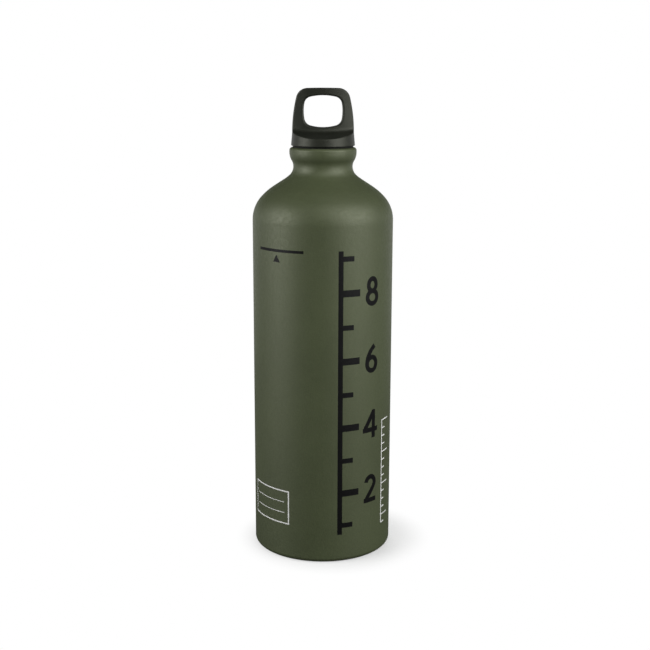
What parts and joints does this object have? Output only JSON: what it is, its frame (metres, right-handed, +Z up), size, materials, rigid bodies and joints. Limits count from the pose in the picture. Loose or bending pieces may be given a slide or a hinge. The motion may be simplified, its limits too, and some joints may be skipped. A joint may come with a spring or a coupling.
{
  "type": "camping fuel bottle",
  "caption": "Round aluminium bottle for liquid camping fuel, with a sloping shoulder, a beaded threaded neck and a push-and-turn stopper with a carrying loop.",
  "frame": {"origin": "middle of the foot ring, on the surface the bottle stands on", "axes": "+Z up along the bottle's axis, +X along the width of the carrying loop, -Y towards the viewer of the loop's face"},
  "size_m": [0.0826, 0.0826, 0.2744],
  "materials": {
    "coated_shell": "matte olive powder coat on aluminium",
    "bare_aluminium": "turned, satin",
    "black_rubber": "smooth, fuel-proof rubber",
    "plug_plastic": "moulded, fine matte",
    "spring_steel": "drawn stainless steel",
    "cap_plastic": "moulded, fine matte",
    "printed_ink": "screen-printed black ink on the coat",
    "pale_ink": "screen-printed pale grey ink on the coat"
  },
  "bodies": {
    "bottle": {"bottle_shell": "coated_shell", "neck_insert": "bare_aluminium", "insert_o_ring": "black_rubber"},
    "gasket": {"lip_gasket": "black_rubber"},
    "plug": {"threaded_plug": "plug_plastic", "return_spring": "spring_steel"},
    "washer": {"thrust_washer": "spring_steel"},
    "cap": {"loop_cap": "cap_plastic"}
  },
  "joints": [
    {"name": "unscrew_lift", "type": "slide", "parent": "bottle", "child": "gasket", "axis": [0, 0, 1], "range_m": [0, 0.012]},
    {"name": "unscrew_turn", "type": "hinge", "parent": "gasket", "child": "plug", "pos_m": [0, 0, 0.2406], "axis": [0, 0, 1], "range_deg": [0, 1440]},
    {"name": "cap_push", "type": "slide", "parent": "plug", "child": "washer", "axis": [0, 0, -1], "range_m": [0, 0.0006], "stiffness_N_per_m": 1000, "springref_m": -0.0002, "deforming": ["return_spring"]},
    {"name": "cap_spin", "type": "hinge", "parent": "washer", "child": "cap", "pos_m": [0, 0, 0.2452], "axis": [0, 0, 1], "continuous": true}
  ],
  "couplings": [
    {"joint": "unscrew_lift", "follows": "unscrew_turn", "m_per_rad": 0.00047746}
  ]
}
